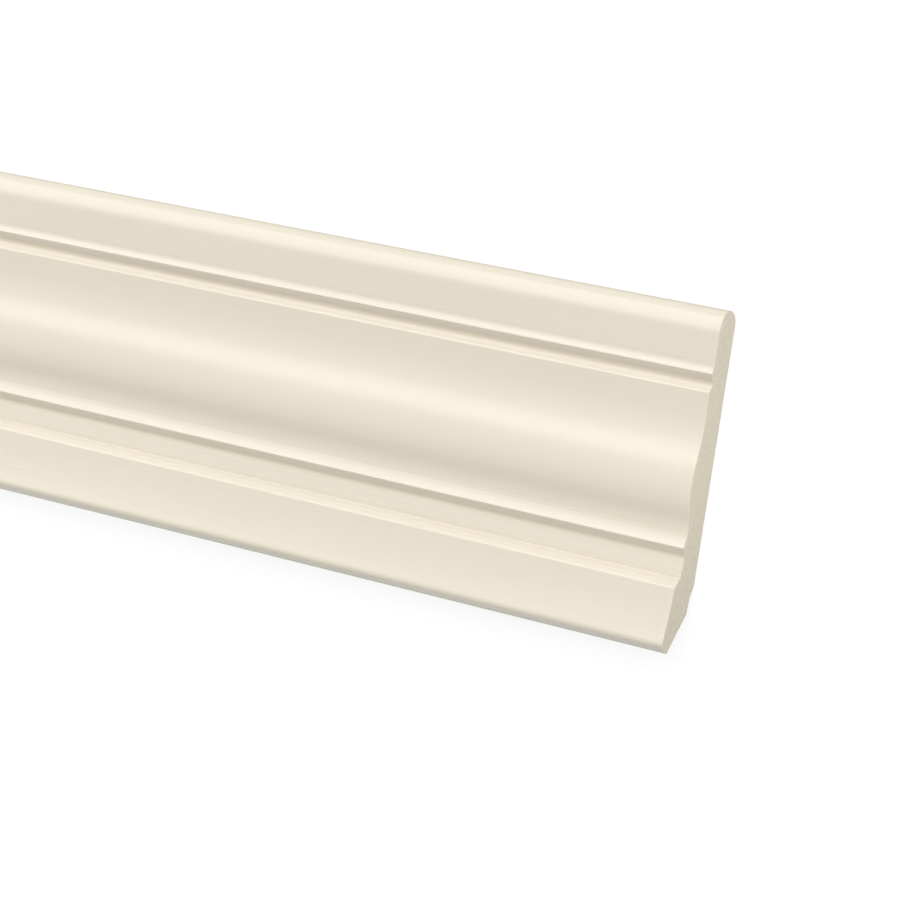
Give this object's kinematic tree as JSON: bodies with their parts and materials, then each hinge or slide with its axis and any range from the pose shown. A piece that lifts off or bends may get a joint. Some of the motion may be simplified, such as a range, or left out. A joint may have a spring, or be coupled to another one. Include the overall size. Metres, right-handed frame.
{
  "type": "skirting board",
  "caption": "Length of solid moulded skirting board with a rounded top edge, a swelling ogee between two grooves, and a flared plinth.",
  "frame": {"origin": "centre of the board's footprint, on the plane of its flat back", "axes": "+X along the length, +Y across the board from the toe to the rounded top edge, +Z out of the moulded face; the board lies on its back"},
  "size_m": [2.4, 0.1, 0.0147],
  "materials": {
    "cream_foam": "satin cream skin on the moulded face, slightly darker sawn ends"
  },
  "bodies": {
    "root": {"skirting_board": "cream_foam"}
  },
  "joints": []
}
